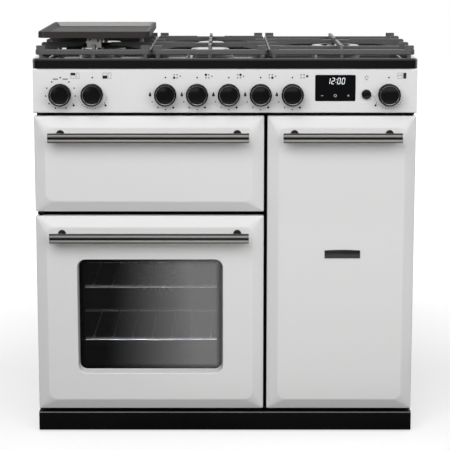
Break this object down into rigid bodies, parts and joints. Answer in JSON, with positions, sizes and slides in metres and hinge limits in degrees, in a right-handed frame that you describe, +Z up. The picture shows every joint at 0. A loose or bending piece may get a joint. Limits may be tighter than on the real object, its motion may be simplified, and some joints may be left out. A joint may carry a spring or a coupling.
{
  "type": "dual fuel range cooker",
  "caption": "Free-standing dual fuel range cooker: gas hob with cast pan supports and a griddle, drop-door grill, two side-hinged ovens, control knobs and a display.",
  "frame": {"origin": "centre of the whole cooker's footprint, on the floor", "axes": "+Z up, +X to the right seen from the front, the doors face -Y"},
  "size_m": [0.9, 0.648, 0.964],
  "materials": {
    "white_enamel": "smooth white stove enamel, semi-gloss",
    "black_enamel": "black gloss vitreous enamel",
    "cap_enamel": "black satin enamel",
    "side_coat": "black satin powder coat",
    "cast_iron": "matt black enamelled cast iron",
    "griddle_coat": "dark non-stick coating on cast metal",
    "oven_enamel": "speckled dark vitreous enamel",
    "zinc_steel": "zinc-coated sheet steel",
    "chrome_wire": "chrome-plated wire",
    "brass": "machined brass",
    "gunmetal": "brushed gunmetal plating",
    "knob_black": "polished black with a bright metal ring",
    "display_glass": "black glass touch display",
    "door_glass": "dark tinted toughened glass",
    "lamp_glass": "clear lamp lens",
    "spindle_steel": "bare steel",
    "element_metal": "heat-tinted sheath",
    "burner_alloy": "cast aluminium",
    "igniter_ceramic": "glazed white ceramic",
    "seal_rubber": "braided heat-proof seal"
  },
  "bodies": {
    "cooker_body": {"control_fascia": "white_enamel", "hotplate": "black_enamel", "front_frame": "black_enamel", "plinth": "black_enamel", "burner_caps": "cap_enamel", "side_panels": "side_coat", "door_hinges": "side_coat", "main_oven_liner": "oven_enamel", "tall_oven_liner": "oven_enamel", "grill_liner": "oven_enamel", "fan_covers": "oven_enamel", "base_frame": "zinc_steel", "back_panel": "zinc_steel", "oven_controls": "zinc_steel", "fan_motors": "zinc_steel", "levelling_feet": "zinc_steel", "rack_ladders": "chrome_wire", "gas_rail": "brass", "rear_inlets": "brass", "clock_display": "display_glass", "oven_lamps": "lamp_glass", "heating_elements": "element_metal", "burner_heads": "burner_alloy", "burner_bowls": "burner_alloy", "igniters": "igniter_ceramic", "oven_seals": "seal_rubber"},
    "main_door": {"main_door_panel": "white_enamel", "main_door_liner": "oven_enamel", "main_door_glass": "door_glass", "main_door_handle": "gunmetal"},
    "tall_door": {"tall_door_panel": "white_enamel", "tall_door_liner": "oven_enamel", "tall_door_handle": "gunmetal"},
    "grill_door": {"grill_door_panel": "white_enamel", "grill_door_liner": "oven_enamel", "grill_door_handle": "gunmetal"},
    "gas_spindle_1": {"gas_spindle_1": "spindle_steel"},
    "gas_spindle_2": {"gas_spindle_2": "spindle_steel"},
    "gas_spindle_3": {"gas_spindle_3": "spindle_steel"},
    "gas_spindle_4": {"gas_spindle_4": "spindle_steel"},
    "gas_spindle_5": {"gas_spindle_5": "spindle_steel"},
    "gas_knob_1": {"gas_knob_1": "knob_black"},
    "gas_knob_2": {"gas_knob_2": "knob_black"},
    "gas_knob_3": {"gas_knob_3": "knob_black"},
    "gas_knob_4": {"gas_knob_4": "knob_black"},
    "gas_knob_5": {"gas_knob_5": "knob_black"},
    "grill_knob": {"grill_knob": "knob_black"},
    "main_oven_knob": {"main_oven_knob": "knob_black"},
    "tall_oven_knob": {"tall_oven_knob": "knob_black"},
    "light_button": {"light_button": "knob_black"},
    "pan_support_left": {"pan_support_left": "cast_iron"},
    "pan_support_middle": {"pan_support_middle": "cast_iron"},
    "pan_support_right": {"pan_support_right": "cast_iron"},
    "griddle": {"griddle": "griddle_coat"},
    "grill_pan": {"grill_pan": "oven_enamel"},
    "main_oven_rack_1": {"main_oven_rack_1": "chrome_wire"},
    "main_oven_rack_2": {"main_oven_rack_2": "chrome_wire"},
    "tall_oven_rack": {"tall_oven_rack": "chrome_wire"},
    "main_oven_fan": {"main_oven_fan": "spindle_steel"},
    "tall_oven_fan": {"tall_oven_fan": "spindle_steel"}
  },
  "joints": [
    {"name": "main_door_hinge", "type": "hinge", "parent": "cooker_body", "child": "main_door", "pos_m": [-0.437, -0.264, 0.294], "axis": [0, 0, -1], "range_deg": [0, 100]},
    {"name": "tall_door_hinge", "type": "hinge", "parent": "cooker_body", "child": "tall_door", "pos_m": [0.437, -0.264, 0.413], "axis": [0, 0, 1], "range_deg": [0, 100]},
    {"name": "grill_door_hinge", "type": "hinge", "parent": "cooker_body", "child": "grill_door", "pos_m": [-0.1785, -0.26, 0.565], "axis": [1, 0, 0], "range_deg": [0, 90]},
    {"name": "main_oven_rack_1_slide", "type": "slide", "parent": "cooker_body", "child": "main_oven_rack_1", "axis": [0, -1, 0], "range_m": [0, 0.158]},
    {"name": "main_oven_rack_2_slide", "type": "slide", "parent": "cooker_body", "child": "main_oven_rack_2", "axis": [0, -1, 0], "range_m": [0, 0.158]},
    {"name": "tall_oven_rack_slide", "type": "slide", "parent": "cooker_body", "child": "tall_oven_rack", "axis": [0, -1, 0], "range_m": [0, 0.158]},
    {"name": "grill_pan_slide", "type": "slide", "parent": "cooker_body", "child": "grill_pan", "axis": [0, -1, 0], "range_m": [0, 0.142]},
    {"name": "gas_spindle_1_turn", "type": "hinge", "parent": "cooker_body", "child": "gas_spindle_1", "pos_m": [-0.139, -0.284, 0.821], "axis": [0, -1, 0], "range_deg": [0, 225]},
    {"name": "gas_knob_1_press", "type": "slide", "parent": "gas_spindle_1", "child": "gas_knob_1", "axis": [0, 1, 0], "range_m": [0, 0.003], "stiffness_N_per_m": 800},
    {"name": "gas_spindle_2_turn", "type": "hinge", "parent": "cooker_body", "child": "gas_spindle_2", "pos_m": [-0.065, -0.284, 0.821], "axis": [0, -1, 0], "range_deg": [0, 225]},
    {"name": "gas_knob_2_press", "type": "slide", "parent": "gas_spindle_2", "child": "gas_knob_2", "axis": [0, 1, 0], "range_m": [0, 0.003], "stiffness_N_per_m": 800},
    {"name": "gas_spindle_3_turn", "type": "hinge", "parent": "cooker_body", "child": "gas_spindle_3", "pos_m": [0.009, -0.284, 0.821], "axis": [0, -1, 0], "range_deg": [0, 225]},
    {"name": "gas_knob_3_press", "type": "slide", "parent": "gas_spindle_3", "child": "gas_knob_3", "axis": [0, 1, 0], "range_m": [0, 0.003], "stiffness_N_per_m": 800},
    {"name": "gas_spindle_4_turn", "type": "hinge", "parent": "cooker_body", "child": "gas_spindle_4", "pos_m": [0.083, -0.284, 0.821], "axis": [0, -1, 0], "range_deg": [0, 225]},
    {"name": "gas_knob_4_press", "type": "slide", "parent": "gas_spindle_4", "child": "gas_knob_4", "axis": [0, 1, 0], "range_m": [0, 0.003], "stiffness_N_per_m": 800},
    {"name": "gas_spindle_5_turn", "type": "hinge", "parent": "cooker_body", "child": "gas_spindle_5", "pos_m": [0.157, -0.284, 0.821], "axis": [0, -1, 0], "range_deg": [0, 225]},
    {"name": "gas_knob_5_press", "type": "slide", "parent": "gas_spindle_5", "child": "gas_knob_5", "axis": [0, 1, 0], "range_m": [0, 0.003], "stiffness_N_per_m": 800},
    {"name": "grill_knob_turn", "type": "hinge", "parent": "cooker_body", "child": "grill_knob", "pos_m": [-0.384, -0.284, 0.821], "axis": [0, -1, 0], "range_deg": [-150, 150]},
    {"name": "main_oven_knob_turn", "type": "hinge", "parent": "cooker_body", "child": "main_oven_knob", "pos_m": [-0.3095, -0.284, 0.821], "axis": [0, 1, 0], "range_deg": [0, 265]},
    {"name": "tall_oven_knob_turn", "type": "hinge", "parent": "cooker_body", "child": "tall_oven_knob", "pos_m": [0.382, -0.284, 0.821], "axis": [0, 1, 0], "range_deg": [0, 265]},
    {"name": "light_button_press", "type": "slide", "parent": "cooker_body", "child": "light_button", "axis": [0, 1, 0], "range_m": [0, 0.003], "stiffness_N_per_m": 500},
    {"name": "pan_support_left_lift", "type": "slide", "parent": "cooker_body", "child": "pan_support_left", "axis": [0, 0, 1], "range_m": [0, 0.05]},
    {"name": "pan_support_middle_lift", "type": "slide", "parent": "cooker_body", "child": "pan_support_middle", "axis": [0, 0, 1], "range_m": [0, 0.05]},
    {"name": "pan_support_right_lift", "type": "slide", "parent": "cooker_body", "child": "pan_support_right", "axis": [0, 0, 1], "range_m": [0, 0.05]},
    {"name": "griddle_lift", "type": "slide", "parent": "pan_support_left", "child": "griddle", "axis": [0, 0, 1], "range_m": [0, 0.08]},
    {"name": "main_oven_fan_spin", "type": "hinge", "parent": "cooker_body", "child": "main_oven_fan", "pos_m": [-0.1785, 0.146, 0.292], "axis": [0, 1, 0], "continuous": true},
    {"name": "tall_oven_fan_spin", "type": "hinge", "parent": "cooker_body", "child": "tall_oven_fan", "pos_m": [0.2745, 0.146, 0.411], "axis": [0, 1, 0], "continuous": true}
  ],
  "couplings": [
    {"joint": "main_oven_rack_1_slide", "follows": "main_door_hinge", "m_per_rad": 0.09},
    {"joint": "main_oven_rack_2_slide", "follows": "main_door_hinge", "m_per_rad": 0.09},
    {"joint": "tall_oven_rack_slide", "follows": "tall_door_hinge", "m_per_rad": 0.09},
    {"joint": "grill_pan_slide", "follows": "grill_door_hinge", "m_per_rad": 0.09}
  ]
}
